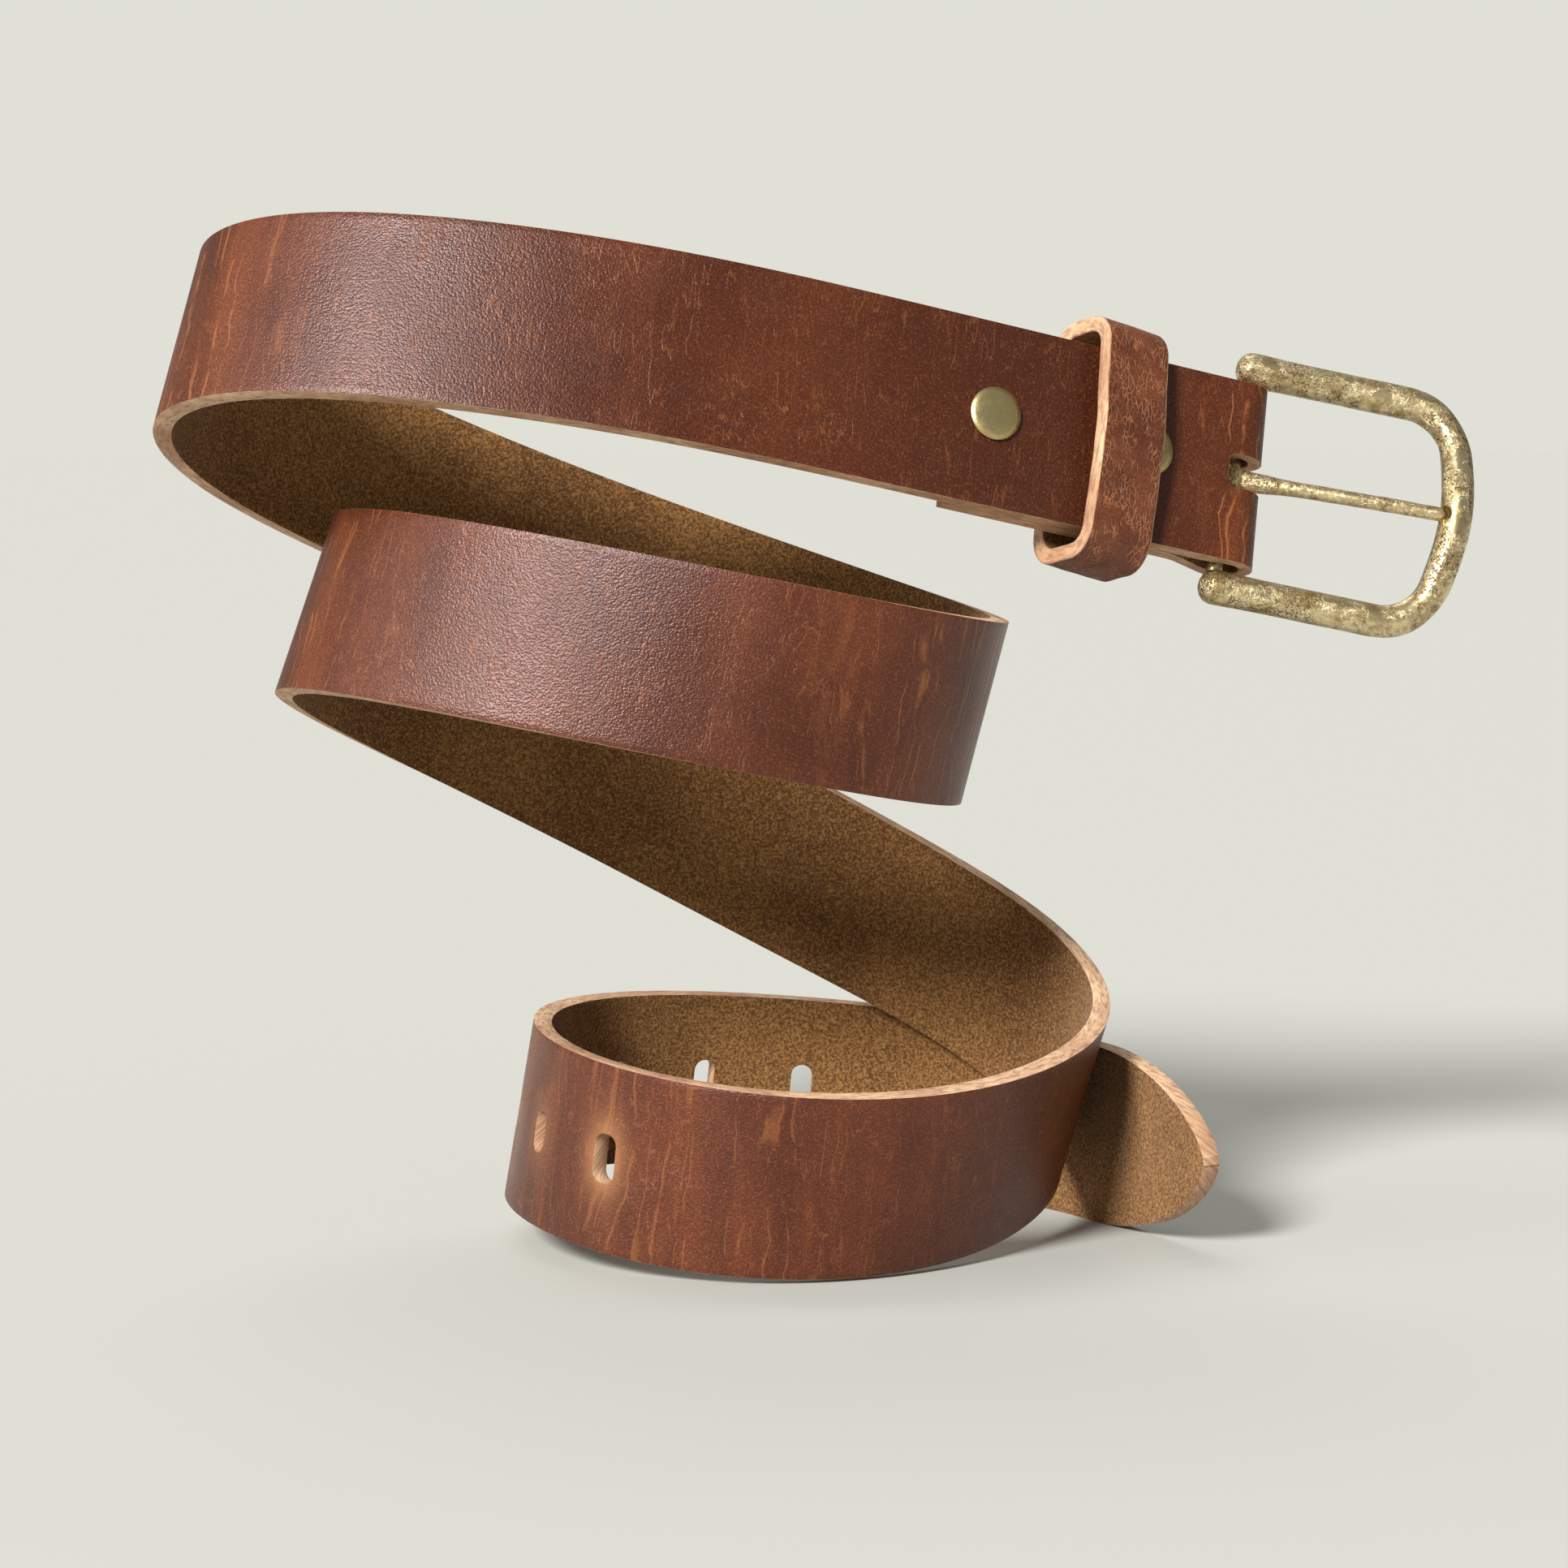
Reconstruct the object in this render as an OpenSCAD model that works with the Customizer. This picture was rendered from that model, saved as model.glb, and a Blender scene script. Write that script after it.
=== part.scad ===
// Leather belt with a heel-bar buckle, stood on its lower edge in a rising coil.
//
// The strap is one piece of leather of constant thickness. Its route is worked out along its
// own length: three short lists say how far it bends, twists and sways in each stretch, and a
// loop turns them into stations. The doubled buckle end is straight, and carries the keeper,
// the screw posts and the buckle in a frame of its own: origin at the middle of the heel bar,
// +X out through the buckle, -Y out of the front face, +Z towards the strap's upper edge.

/* [Strap] */
// Width of the strap
strap_w = 35; // [34:0.5:36]
// Thickness of the leather
strap_t = 3.5; // [3.2:0.1:3.6]
// Length from the heel bar to the tip
strap_l = 1180; // [1160:5:1185]
// Length of the pointed part of the tip
tip_l = 42; // [30:1:55]

/* [Doubled buckle end] */
// From the heel bar to the cut end of the turned-back leather
tail_l = 58; // [57:1:65]
// From the heel bar to the screw post nearer the buckle
near_post_x = 20; // [19:0.5:21]
// From the heel bar to the screw post further from the buckle
far_post_x = 51; // [50:0.5:52]
// Gap between the two layers where they lie together
layer_gap = 0.1; // [0.1:0.1:0.3]
// Inner radius of the fold round the heel bar, before paring
fold_in_r = 2.2; // [2.1:0.1:2.6]
// How much the flesh side is pared down in the fold
fold_pare = 1; // [0.8:0.1:1.2]
// Height of the prong's slot in the fold
slot_h = 6.5; // [6:0.5:9]
// From the heel bar back to the slot's end
slot_back = 3; // [2.6:0.1:4]

/* [Prong holes] */
// Number of prong holes
hole_n = 7; // [1:1:8]
// From the tip to the last prong hole
last_hole = 116; // [60:1:120]
// From one prong hole to the next
hole_pitch = 21; // [15:1:25]
// Length of a prong hole across the strap
hole_h = 8; // [6:0.5:12]
// Width of a prong hole along the strap
hole_w = 4.4; // [3.5:0.1:5]

/* [Coil] */
// Straight length before the coil starts
straight_l = 65; // [65:1:70]

/* [Keeper loop] */
// Width of the loop along the strap
keeper_w = 14; // [12:0.5:14]
// Thickness of the loop's leather
keeper_t = 3; // [2.5:0.1:3.2]
// Height inside the loop
keeper_in_h = 41; // [40:0.5:42]
// Depth inside the loop, before its front bows out
keeper_in_d = 12.4; // [12.4:0.1:13]
// Radius of the loop's inside corners
keeper_corner_r = 3.5; // [2:0.1:3.5]
// How far the loop's front stands out at its middle
keeper_bow = 1; // [0.5:0.1:1.5]
// From the heel bar to the middle of the loop at rest
keeper_x = 27.5; // [27:0.5:36]
// How far the loop hangs down on the strap
keeper_drop = 0.5; // [0:0.1:1]
// How far the loose loop is turned on the strap, in degrees
keeper_turn = 12; // [8:1:12]
// Least gap between the strap's back and the loop, which clears the screw heads
keeper_back_gap = 1.5; // [1.5:0.1:1.6]
// Diameter of the staple's wire
staple_d = 1.4; // [1.2:0.1:1.8]
// Height of the staple, between its legs
staple_h = 9; // [7:0.5:12]

/* [Screw posts] */
// Diameter of a head
head_d = 10; // [9:0.5:10]
// Thickness of a head
head_t = 1.2; // [1:0.1:1.4]
// Diameter of the post
post_d = 5; // [4:0.1:6]
// Diameter of the back screw's thread
screw_d = 3; // [2.5:0.1:3.5]

/* [Buckle] */
// Diameter of the frame's round bar
frame_d = 6.2; // [5.5:0.1:6.6]
// From arm centre to arm centre
frame_h = 43.6; // [43.4:0.1:46]
// From the heel bar to the ends of the end bar
frame_l = 40; // [38:0.5:46]
// Radius of the frame's corners at the bar's centre
corner_r = 9; // [8:0.5:11]
// How far the end bar is arched at its middle
end_bow = 4; // [3:0.5:5]
// Direction of that arch, from straight forward towards the outside
bow_turn = 40; // [20:5:50]
// How far the arms stand forward of the heel bar
arm_front = 1; // [0.5:0.1:1.1]
// Diameter of the heel bar
bar_d = 3.2; // [3:0.1:3.4]
// Radial gap between the heel bar and the prong's eye
eye_gap = 0.06; // [0.04:0.01:0.1]
// Wall of the prong's eye
eye_wall = 0.9; // [0.8:0.1:1]
// Height of the prong at its root
prong_root_h = 4; // [3.6:0.1:5]
// Diameter of the prong at its tip
prong_tip_d = 2.6; // [2.4:0.1:3]
// Angle of the prong forward of the arms
prong_rise = 7; // [7:0.5:8]
// Lean of the loose buckle in its own plane, in degrees
buckle_lean = 5; // [0:0.5:5]
// Swing of the resting buckle forward of the strap, in degrees
buckle_rest = 17; // [0:1:20]

/* [Hidden] */
$fn = 48;

// Where the doubled buckle end lies: middle of its front layer at the heel bar, then its roll,
// dip and heading
start_at = [85, -15, 145];
start_turn = [-16, 12.5, 19];

// Degrees the strap bends towards its flesh side in each 30 mm
bends = [
    0, 7, 11, 15, 32, 57, 39, 12, 14, 18, 15, 27, 52, 49,
    26, 13, 19, 37, 49, 27, 22, 16, 0, 8, 41, 50, 23, 28,
    37, 37, 31, 35, 34, 27, 31, 25, 6, 0, -1
];
// Degrees the strap twists about its own length in each 120 mm
twists = [0, 7, 19, 14, 11, 23, 28, 25, -7, 5, 1];
// Degrees the strap sways in its own plane in each 120 mm
sways = [0, 6, -2, 0, 3, -2, 5, 1, 9, 10, 0];

half_w = strap_w / 2;
half_t = strap_t / 2;
// Centre line of the fold, and the middle planes of the two layers
fold_r = fold_in_r + half_t;
front_y = -fold_r;
back_y = front_y + strap_t + layer_gap;
front_face = front_y - half_t;
back_face = back_y + half_t;
grip_y = (front_face + back_face) / 2;
// Middle of the keeper's depth
keeper_y = back_face + keeper_back_gap
    - (keeper_in_d * cos(keeper_turn) - keeper_w * sin(keeper_turn)) / 2;
corner_x = frame_l - corner_r;
corner_z = frame_h / 2 - corner_r;
bow_r = (pow(corner_z, 2) + pow(end_bow, 2)) / (2 * end_bow);
bow_angle = asin(corner_z / bow_r);
eye_r = bar_d / 2 + eye_gap + eye_wall;
// The prong ends short of the middle of the end bar
prong_end = frame_l + end_bow * sin(bow_turn) - 1.5;

// ---- Route of the strap ----

step_l = 5;
bend_step = 30;
twist_step = 120;

// Turns a vector about an axis, by as many degrees as the axis is long
function turned(v, a) =
    let (angle = norm(a), u = angle > 0 ? a / angle : a)
    v * cos(angle) + cross(u, v) * sin(angle) + u * (u * v) * (1 - cos(angle));

// Turns a direction of the buckle end's own frame as rotate(start_turn) does
function end_dir(v) =
    let (rolled = turned(v, [start_turn[0], 0, 0]), dipped = turned(rolled, [0, start_turn[1], 0]))
    turned(dipped, [0, 0, start_turn[2]]);

// Degrees per millimetre at a distance, read from a list of degrees per stretch
function rate(list, stretch, s) =
    let (p = (s - straight_l) / stretch, i = floor(p), f = p - i)
    p <= 0 ? 0 : (list[i] * (1 - f) + list[i + 1] * f) / stretch;

// A station is a place and three directions: along, out of the grain side, to the upper edge
function next_station(a, s) =
    let (
        axis = a[1] * rate(twists, twist_step, s)
            - a[2] * rate(sways, twist_step, s)
            - a[3] * rate(bends, bend_step, s),
        along = turned(a[1], axis * step_l),
        middle = a[1] + along
    )
    [
        a[0] + middle / norm(middle) * step_l,
        along,
        turned(a[2], axis * step_l),
        turned(a[3], axis * step_l)
    ];

first_station = [start_at, end_dir([-1, 0, 0]), end_dir([0, -1, 0]), end_dir([0, 0, 1])];
route = [
    for (
        a = first_station, s = step_l / 2;
        s < strap_l + step_l;
        a = next_station(a, s), s = s + step_l
    ) a
];

// Station at any distance along the route
function station(s) =
    let (
        i = floor(s / step_l),
        f = s / step_l - i,
        a = route[i],
        b = route[i + 1],
        t = a[1] * (1 - f) + b[1] * f,
        along = t / norm(t),
        w = a[3] * (1 - f) + b[3] * f,
        level = w - along * (w * along),
        up = level / norm(level)
    )
    [a[0] * (1 - f) + b[0] * f, along, cross(up, along), up];

// Turns a direction of the buckle's frame into the buckle end's frame, then as end_dir does
function buckle_dir(v) =
    let (swung = turned(v, [0, 0, -buckle_rest]))
    end_dir(turned(swung, [0, buckle_lean, 0]));

// Middle of the heel bar
bar_at = start_at - end_dir([0, front_y, 0]);

// The turned-back layer and the fold as a flat path: x, y, direction of travel and paring
turn_in = 26;
turn_in_r = 9;
ease_y = fold_r * cos(turn_in) - turn_in_r * (1 - cos(turn_in)) - back_y;
ease_x = (fold_r + turn_in_r) * sin(turn_in) + ease_y / tan(turn_in);
fold_path = concat(
    [[-tail_l, back_y, 0, 0]],
    [
        for (i = [0:4])
            let (t = turn_in * i / 4)
            [turn_in_r * sin(t) - ease_x, back_y + turn_in_r * (1 - cos(t)), t, fold_pare * i / 4]
    ],
    [
        for (i = [0:16])
            let (t = turn_in - (180 + turn_in) * i / 16)
            [-fold_r * sin(t), fold_r * cos(t), t, fold_pare]
    ]
);
fold_stations = [
    for (p = fold_path)
        [
            bar_at + end_dir([p[0], p[1], 0]),
            end_dir([cos(p[2]), sin(p[2]), 0]),
            end_dir([-sin(p[2]), cos(p[2]), 0]),
            end_dir([0, 0, 1]),
            p[3]
        ]
];

// Four corners of the strap's section at a station, for a half width and a paring
function section(a, h, pare = 0) =
    let (grain = a[2] * half_t, flesh = a[2] * (half_t - pare))
    [
        a[0] + grain + a[3] * h,
        a[0] - flesh + a[3] * h,
        a[0] - flesh - a[3] * h,
        a[0] + grain - a[3] * h
    ];

tip_s = strap_l - tip_l;
sections = concat(
    [for (a = fold_stations) section(a, half_w, a[4])],
    [for (s = [step_l:step_l:tip_s - 1]) section(station(s), half_w)],
    [
        for (q = [0:6:86])
            section(station(tip_s + tip_l * sin(q)), half_w * pow(cos(q), 1.25))
    ]
);
strap_points = [for (ring = sections) each ring];

// ---- Frame of the part: middle of the box in X and Y, its floor in Z ----

frame_reach = concat(
    [
        for (side = [-1, 1], t = [0:15:90])
            bar_at + buckle_dir([
                corner_x + corner_r * sin(t),
                -arm_front,
                side * (corner_z + corner_r * cos(t))
            ])
    ],
    [
        for (t = [-bow_angle:bow_angle / 6:bow_angle])
            let (rise = bow_r * cos(t) - bow_r + end_bow)
            bar_at + buckle_dir([
                frame_l + rise * sin(bow_turn),
                -arm_front - rise * cos(bow_turn),
                bow_r * sin(t)
            ])
    ]
);
all_x = concat([for (p = strap_points) p[0]], [for (p = frame_reach) p[0] + frame_d / 2]);
all_y = [for (p = strap_points) p[1]];
all_z = [for (p = strap_points) p[2]];
shift = -[(min(all_x) + max(all_x)) / 2, (min(all_y) + max(all_y)) / 2, min(all_z)];

// Puts what is drawn in the buckle end's own frame into its place
module in_end() {
    translate(shift + bar_at) rotate(start_turn) children();
}

// Puts what is drawn in the buckle's own frame into its place
module in_buckle() {
    in_end() rotate([0, buckle_lean, 0]) rotate([0, 0, -buckle_rest]) children();
}

// Puts what is drawn round a station at the origin onto the strap
module on_strap(s) {
    a = station(s);
    p = a[0] + shift;
    multmatrix([
        [a[1][0], a[2][0], a[3][0], p[0]],
        [a[1][1], a[2][1], a[3][1], p[1]],
        [a[1][2], a[2][2], a[3][2], p[2]]
    ])
        children();
}

// ---- Strap ----

module strap_body() {
    n = len(sections);
    faces = concat(
        [[0, 1, 2], [0, 2, 3]],
        [
            for (i = [0:n - 2], j = [0:3])
                let (a = 4 * i + j, b = 4 * i + (j + 1) % 4)
                each [[a, a + 4, b], [b, a + 4, b + 4]]
        ],
        [[4 * n - 4, 4 * n - 2, 4 * n - 3], [4 * n - 4, 4 * n - 1, 4 * n - 2]]
    );
    translate(shift) polyhedron(points = strap_points, faces = faces, convexity = 10);
}

// A hole with round ends, long across the strap, cut along Y
module oblong(w, h, depth) {
    rotate([90, 0, 0])
        linear_extrude(depth, center = true) {
            square([w, h - w], center = true);
            for (side = [-1, 1])
                translate([0, side * (h - w) / 2]) circle(d = w);
        }
}

module post_hole(x) {
    translate([-x, grip_y, 0])
        rotate([90, 0, 0])
            cylinder(h = 4 * strap_t, d = post_d + 0.2, center = true);
}

module strap() {
    color("#7d4430")
        difference() {
            strap_body();
            for (i = [0:hole_n - 1])
                on_strap(strap_l - last_hole - i * hole_pitch) oblong(hole_w, hole_h, 3 * strap_t);
            in_end() {
                post_hole(near_post_x);
                post_hole(far_post_x);
                translate([-slot_back, front_face - 1, -slot_h / 2])
                    cube([slot_back + fold_r + strap_t, 2 * fold_r + 2 * strap_t, slot_h]);
            }
        }
}

// ---- Keeper ----

// Puts what is drawn round the loop's middle into its place on the buckle end
module in_keeper() {
    translate([-keeper_x, keeper_y, -keeper_drop]) rotate([0, 0, keeper_turn]) children();
}

// Outline of the loop's inside, seen along the strap, grown by a wall
module keeper_outline(wall) {
    corner_y = keeper_in_d / 2 - keeper_corner_r;
    corner_z = keeper_in_h / 2 - keeper_corner_r;
    r = keeper_corner_r + wall;
    front = keeper_in_d / 2 + wall;
    front_r = (pow(corner_z, 2) + pow(keeper_bow, 2)) / (2 * keeper_bow);
    for (y = [-1, 1] * corner_y, z = [-1, 1] * corner_z)
        translate([y, z]) circle(r = r);
    square([2 * front, 2 * corner_z], center = true);
    square([2 * corner_y, 2 * (corner_z + r)], center = true);
    intersection() {
        translate([front_r - keeper_in_d / 2 - keeper_bow, 0]) circle(r = front_r + wall, $fn = 120);
        translate([-front - keeper_bow, -corner_z]) square([front + keeper_bow, 2 * corner_z]);
    }
}

module keeper_loop() {
    color("#8c553c")
        in_end()
            in_keeper() translate([-keeper_w / 2, 0, 0]) rotate([90, 0, 90])
                    difference() {
                        linear_extrude(keeper_w) keeper_outline(keeper_t);
                        translate([0, 0, -1]) linear_extrude(keeper_w + 2) keeper_outline(0);
                        for (z = [-1, 1] * staple_h / 2)
                            translate([keeper_in_d / 2 - 1, z, keeper_w / 2])
                                rotate([0, 90, 0])
                                    cylinder(h = keeper_t + 2, d = staple_d + 0.1);
                    }
}

// The staple that holds the loop's butted ends together at the back
module keeper_staple() {
    crown_y = keeper_in_d / 2 + keeper_t;
    color("#a08750")
        in_end()
            in_keeper() translate([0, crown_y, 0]) {
                translate([0, staple_d / 2, 0])
                    cylinder(h = staple_h + staple_d, d = staple_d, center = true);
                for (z = [-1, 1] * staple_h / 2)
                    translate([0, staple_d / 2, z])
                        rotate([90, 0, 0])
                            cylinder(h = keeper_t + staple_d / 2, d = staple_d);
            }
}

// ---- Screw posts ----

grip_l = back_face - front_face;

module screw_post(x) {
    color("#968755")
        in_end()
            translate([-x, front_face, 0])
                rotate([-90, 0, 0])
                    difference() {
                        union() {
                            translate([0, 0, -head_t * 0.6]) cylinder(h = head_t * 0.6, d = head_d);
                            translate([0, 0, -head_t])
                                cylinder(h = head_t * 0.4, d1 = head_d - 1.2, d2 = head_d);
                            cylinder(h = grip_l - 0.2, d = post_d);
                        }
                        translate([0, 0, 1]) cylinder(h = grip_l, d = screw_d);
                    }
}

module back_screw(x) {
    color("#968755")
        in_end()
            translate([-x, back_face, 0])
                rotate([90, 0, 0])
                    difference() {
                        union() {
                            translate([0, 0, -head_t]) cylinder(h = head_t, d = head_d - 1);
                            cylinder(h = grip_l - 1.5, d = screw_d - 0.1);
                        }
                        translate([0, 0, -head_t - 0.5])
                            cube([head_d, 1.2, 2 * 0.5 + 0.2], center = true);
                    }
}

module near_post() {
    screw_post(near_post_x);
}

module far_post() {
    screw_post(far_post_x);
}

module near_screw() {
    back_screw(near_post_x);
}

module far_screw() {
    back_screw(far_post_x);
}

// ---- Buckle ----

module end_bar() {
    translate([frame_l, 0, 0])
        rotate([0, 0, bow_turn])
            translate([0, bow_r - end_bow, 0])
                rotate([0, 90, 0])
                    rotate([0, 0, -90 - bow_angle])
                        rotate_extrude(angle = 2 * bow_angle)
                            translate([bow_r, 0]) circle(d = frame_d);
}

module buckle_frame() {
    color("#a08750")
        in_buckle()
            translate([0, -arm_front, 0])
                difference() {
                    union() {
                        for (side = [-1, 1]) {
                            translate([0, 0, side * frame_h / 2]) {
                                sphere(d = frame_d);
                                rotate([0, 90, 0]) cylinder(h = corner_x, d = frame_d);
                            }
                            translate([corner_x, 0, side * corner_z])
                                rotate([90, side > 0 ? 0 : 90, 0])
                                    rotate_extrude(angle = 90)
                                        translate([corner_r, 0]) circle(d = frame_d);
                            translate([frame_l, 0, side * corner_z]) sphere(d = frame_d);
                        }
                        end_bar();
                    }
                    translate([0, arm_front, 0])
                        cylinder(h = frame_h + frame_d, d = bar_d, center = true);
                    prong_seat();
                }
}

// The notch in the end bar that the prong's tip rests in, open to the front
module prong_seat() {
    seat_d = prong_tip_d + 0.8;
    seat_end = prong_end + 0.6 - seat_d / 2;
    translate([0, arm_front, 0])
        rotate([0, 0, -prong_rise]) {
            rotate([0, 90, 0]) cylinder(h = seat_end, d = seat_d);
            translate([seat_end, 0, 0]) sphere(d = seat_d);
            translate([seat_end, 0, 0]) rotate([90, 0, 0]) cylinder(h = frame_d, d = seat_d);
            translate([0, -frame_d, -seat_d / 2]) cube([seat_end, frame_d, seat_d]);
        }
}

module heel_bar() {
    color("#a08750")
        in_buckle()
            cylinder(h = frame_h + frame_d / 2, d = bar_d, center = true);
}

module prong() {
    tip_x = prong_end - prong_tip_d / 2;
    color("#a08750")
        in_buckle()
            rotate([0, 0, -prong_rise])
                difference() {
                    union() {
                        cylinder(h = prong_root_h, r = eye_r, center = true);
                        intersection() {
                            rotate([0, 90, 0])
                                translate([0, 0, bar_d / 2])
                                    cylinder(h = tip_x - bar_d / 2, d1 = prong_root_h + 0.6, d2 = prong_tip_d);
                            translate([0, -prong_tip_d / 2, -prong_root_h / 2])
                                cube([tip_x + 9, prong_tip_d, prong_root_h]);
                        }
                        rotate([0, 90, 0]) translate([0, 0, tip_x]) sphere(d = prong_tip_d);
                    }
                    cylinder(h = prong_root_h + 1, d = bar_d + 2 * eye_gap, center = true);
                }
}

strap();
keeper_loop();
keeper_staple();
near_post();
far_post();
near_screw();
far_screw();
buckle_frame();
heel_bar();
prong();
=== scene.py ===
from math import atan2, cos, exp, pi, radians, sin, tan

import bmesh
import bpy
from mathutils import Euler, Matrix, Vector, noise


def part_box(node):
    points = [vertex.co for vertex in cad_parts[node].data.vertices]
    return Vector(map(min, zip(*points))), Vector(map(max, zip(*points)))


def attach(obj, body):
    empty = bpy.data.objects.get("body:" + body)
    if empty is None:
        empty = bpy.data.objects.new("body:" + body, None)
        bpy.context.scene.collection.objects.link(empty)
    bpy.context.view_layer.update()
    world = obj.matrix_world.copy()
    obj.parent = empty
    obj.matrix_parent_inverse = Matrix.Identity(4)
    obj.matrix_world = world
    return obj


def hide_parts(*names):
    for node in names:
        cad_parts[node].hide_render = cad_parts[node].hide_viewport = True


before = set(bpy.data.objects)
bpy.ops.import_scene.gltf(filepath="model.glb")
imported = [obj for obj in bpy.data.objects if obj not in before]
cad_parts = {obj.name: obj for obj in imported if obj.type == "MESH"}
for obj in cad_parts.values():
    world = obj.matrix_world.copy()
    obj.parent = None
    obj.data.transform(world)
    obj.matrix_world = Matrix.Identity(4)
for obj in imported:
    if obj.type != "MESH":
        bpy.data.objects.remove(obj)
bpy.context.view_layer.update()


# ---- Room ----
# A flat pale paper disc in a pale room to stand the coil on. A soft window at the front left
# lights it, a weaker wall at the far left fills it, and a weak light behind draws its top edges.
MM = 0.001
FLOOR_R = 6000 * MM
FLOOR_COLOUR = (0.456, 0.457, 0.425, 1)
ROOM_COLOUR = (0.745, 0.745, 0.675, 1)
ROOM_GLOW = 0.35
VIEW_DOWN = radians(5.5)
VIEW_FROM = 902.4 * MM
VIEW_AIM = Vector((-6.05, -1.18, 88.2)) * MM
LENS_MM = 108.6
SENSOR_MM = 36


def paper_material():
    """Matt pale paper."""
    material = bpy.data.materials.new("pale_paper")
    material.use_nodes = True
    shader = material.node_tree.nodes["Principled BSDF"]
    shader.inputs["Base Color"].default_value = FLOOR_COLOUR
    shader.inputs["Roughness"].default_value = 0.95
    shader.inputs["Specular IOR Level"].default_value = 0.1
    return material


def soft_light(name, azimuth, height, spread, strength, colour):
    """A round soft light far off: degrees left of the camera, above the floor, and across."""
    lamp = bpy.data.lights.new(name, "SUN")
    lamp.angle = radians(spread)
    lamp.energy = strength
    lamp.color = colour
    around, up = radians(azimuth), radians(height)
    way = Vector((-sin(around) * cos(up), -cos(around) * cos(up), sin(up)))
    holder = bpy.data.objects.new(name, lamp)
    holder.rotation_euler = way.to_track_quat("Z", "Y").to_euler()
    bpy.context.scene.collection.objects.link(holder)


floor_form = bmesh.new()
bmesh.ops.create_circle(floor_form, cap_ends=True, radius=FLOOR_R, segments=96)
floor_mesh = bpy.data.meshes.new("floor")
floor_form.to_mesh(floor_mesh)
floor_form.free()
floor = bpy.data.objects.new("floor", floor_mesh)
floor.data.materials.append(paper_material())
bpy.context.scene.collection.objects.link(floor)

camera = bpy.data.objects.new("camera", bpy.data.cameras.new("camera"))
camera.data.sensor_width = SENSOR_MM
camera.data.lens = LENS_MM
camera.data.clip_end = 50
camera.location = VIEW_AIM - VIEW_FROM * Vector((0, cos(VIEW_DOWN), -sin(VIEW_DOWN)))
camera.rotation_euler = (pi / 2 - VIEW_DOWN, 0, 0)
bpy.context.scene.collection.objects.link(camera)
bpy.context.scene.camera = camera

world = bpy.data.worlds.new("pale_room")
world.use_nodes = True
room_nodes, room_links = world.node_tree.nodes, world.node_tree.links
backdrop = room_nodes["Background"]
backdrop.inputs["Color"].default_value = ROOM_COLOUR
rays = room_nodes.new("ShaderNodeLightPath")
glow = room_nodes.new("ShaderNodeMapRange")
glow.inputs["To Min"].default_value = ROOM_GLOW
room_links.new(rays.outputs["Is Camera Ray"], glow.inputs["Value"])
room_links.new(glow.outputs["Result"], backdrop.inputs["Strength"])
bpy.context.scene.world = world
bpy.context.scene.view_settings.view_transform = "Standard"

soft_light("window_left", 30, 31, 15, 6, (1, 0.99, 0.98))
soft_light("wall_left", 78, 20, 40, 0.7, (1, 0.98, 0.97))
soft_light("top_back", 160, 55, 40, 1.2, (1, 1, 1))


# ---- Strap ----
# One length of waxed full-grain leather with a raw suede flesh side and pale cut edges, cut to
# an oval point, punched with oblong holes, and turned back on itself round the heel bar.
STRAP_W = 35 * MM
STRAP_T = 3.5 * MM
STRAP_L = 1180 * MM
TIP_L = 42 * MM
STRAIGHT_L = 65 * MM
TAIL_L = 58 * MM
LAYER_GAP = 0.1 * MM
FOLD_R = 2.2 * MM + STRAP_T / 2
FOLD_PARE = 1 * MM
PARE_L = 5 * MM
TURN_IN = radians(26)
TURN_IN_R = 9 * MM
NEAR_POST_X = 20 * MM
FAR_POST_X = 51 * MM
POST_HOLE_R = 2.6 * MM
SLOT_FORE = 3 * MM
SLOT_BACK = 3 * MM
SLOT_H = 6.5 * MM
SLOT_CORNER_R = 1.2 * MM
HOLE_COUNT = 7
LAST_HOLE = 116 * MM
HOLE_PITCH = 21 * MM
HOLE_W = 4.4 * MM
HOLE_H = 8 * MM
HOLE_CORNER_R = 2.1 * MM
HOLE_STRETCH = 1.15
EDGE_SOFT = 0.45 * MM
# Where the leather is worn, and where it is darker near the buckle: a hard bend in radians per
# metre, and places along the strap.
# The rubbing round a hole reaches further across the strap than along it.
RUB_ACROSS = 0.6
LIGHT_RUB = 0.35
HARD_BEND = 32
FOLD_WORN_L = 9 * MM
# The strap's colour is darker round this distance from the heel bar, fading off over the next
# length.
DARK_NEAR_BUCKLE_AT = 45 * MM
DARK_NEAR_BUCKLE_L = 30 * MM
RUBBED_R = 4 * MM
END_TURN = Euler([radians(a) for a in (-16, 12.5, 19)])
# Degrees the strap bends to its flesh side per 30 mm, twists and sways per 120 mm
BENDS = [
    0, 7, 11, 15, 32, 57, 39, 12, 14, 18, 15, 27, 52, 49,
    26, 13, 19, 37, 49, 27, 22, 16, 0, 8, 41, 50, 23, 28,
    37, 37, 31, 35, 34, 27, 31, 25, 6, 0, -1,
]
TWISTS = [0, 7, 19, 14, 11, 23, 28, 25, -7, 5, 1]
SWAYS = [0, 6, -2, 0, 3, -2, 5, 1, 9, 10, 0]
BEND_STEP = 30 * MM
TWIST_STEP = 120 * MM
ROUTE_STEP = 5 * MM
CELL_L = 1.05 * MM
CELLS_W = 26
TIP_ROWS = 26

heel_lo, heel_hi = (Vector(corner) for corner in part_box("heel_bar"))
bar_at = (heel_lo + heel_hi) / 2
end_turn = END_TURN.to_matrix()
front_y = -FOLD_R
back_y = front_y + STRAP_T + LAYER_GAP
front_face = front_y - STRAP_T / 2
back_face = back_y + STRAP_T / 2
end_place = Matrix.Translation(bar_at) @ end_turn.to_4x4()


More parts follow.
